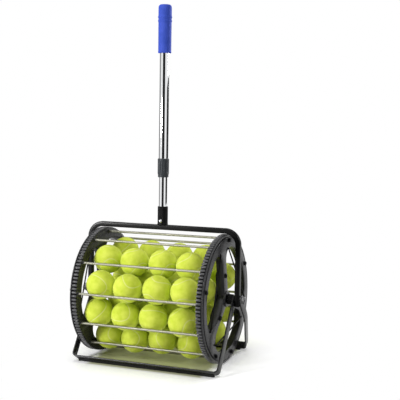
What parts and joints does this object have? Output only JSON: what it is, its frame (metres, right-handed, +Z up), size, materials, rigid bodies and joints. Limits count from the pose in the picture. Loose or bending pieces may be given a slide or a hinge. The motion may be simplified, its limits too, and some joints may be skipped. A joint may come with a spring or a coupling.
{
  "type": "tennis ball roller collector",
  "caption": "Hand-pushed tennis ball collector: a rolling drum of steel wires between ribbed wheels, on a bent yoke with a telescopic handle and folding stands.",
  "frame": {"origin": "on the floor, at the centre of the bounding box's lower face, which is below the middle of the drum", "axes": "+Z up; +X to the right along the drum's axle, seen from the front; -Y to the front, away from the user"},
  "size_m": [0.4178, 0.296, 0.8178],
  "materials": {
    "wheel_plastic": "dark grey moulded plastic, fine matt grain",
    "black_plastic": "black moulded plastic",
    "guard_paint": "black painted thin rod",
    "wire_steel": "dull zinc-plated steel",
    "yoke_paint": "black satin paint on steel tube",
    "bright_fastener": "bright plated steel",
    "handle_chrome": "polished chrome",
    "grip_rubber": "bright blue soft grip",
    "stand_paint": "dark grey painted flat strip",
    "foot_rubber": "black rubber"
  },
  "bodies": {
    "frame": {"handle_socket": "black_plastic", "left_axle_bolt": "wire_steel", "left_axle_nut": "bright_fastener", "left_leg_cap": "black_plastic", "left_spacer": "black_plastic", "left_washer": "bright_fastener", "lower_tube": "handle_chrome", "right_axle_bolt": "wire_steel", "right_axle_nut": "bright_fastener", "right_leg_cap": "black_plastic", "right_spacer": "black_plastic", "right_washer": "bright_fastener", "socket_bolt": "bright_fastener", "socket_nut": "bright_fastener", "yoke": "yoke_paint"},
    "drum": {"left_guard_rod_1": "guard_paint", "left_guard_rod_2": "guard_paint", "left_guard_rod_3": "guard_paint", "left_hub_screw_1": "black_plastic", "left_hub_screw_2": "black_plastic", "left_hub_screw_3": "black_plastic", "left_hub_spider": "black_plastic", "left_wheel": "wheel_plastic", "right_guard_rod_1": "guard_paint", "right_guard_rod_2": "guard_paint", "right_guard_rod_3": "guard_paint", "right_hub_screw_1": "black_plastic", "right_hub_screw_2": "black_plastic", "right_hub_screw_3": "black_plastic", "right_hub_spider": "black_plastic", "right_wheel": "wheel_plastic", "wire_01": "wire_steel", "wire_02": "wire_steel", "wire_03": "wire_steel", "wire_04": "wire_steel", "wire_05": "wire_steel", "wire_06": "wire_steel", "wire_07": "wire_steel", "wire_08": "wire_steel", "wire_09": "wire_steel", "wire_10": "wire_steel", "wire_11": "wire_steel", "wire_12": "wire_steel"},
    "front_stand": {"front_stand": "stand_paint", "front_foot": "foot_rubber"},
    "rear_stand": {"rear_stand": "stand_paint", "rear_foot": "foot_rubber"},
    "upper_handle": {"upper_tube": "handle_chrome", "grip": "grip_rubber", "clamp_ring": "black_plastic"},
    "collar": {"lock_collar": "black_plastic"}
  },
  "joints": [
    {"name": "drum_spin", "type": "hinge", "parent": "frame", "child": "drum", "pos_m": [0, 0, 0.15], "axis": [1, 0, 0], "continuous": true},
    {"name": "front_stand_fold", "type": "hinge", "parent": "frame", "child": "front_stand", "pos_m": [0, 0, 0.15], "axis": [1, 0, 0], "range_deg": [-136, 0]},
    {"name": "rear_stand_fold", "type": "hinge", "parent": "frame", "child": "rear_stand", "pos_m": [0, 0, 0.15], "axis": [1, 0, 0], "range_deg": [0, 122]},
    {"name": "handle_extend", "type": "slide", "parent": "frame", "child": "upper_handle", "axis": [0, 0.0958, 0.9954], "range_m": [-0.06, 0.19]},
    {"name": "collar_twist", "type": "hinge", "parent": "upper_handle", "child": "collar", "pos_m": [0, 0.02827, 0.44364], "axis": [0, 0.0958, 0.9954], "range_deg": [0, 90]}
  ]
}
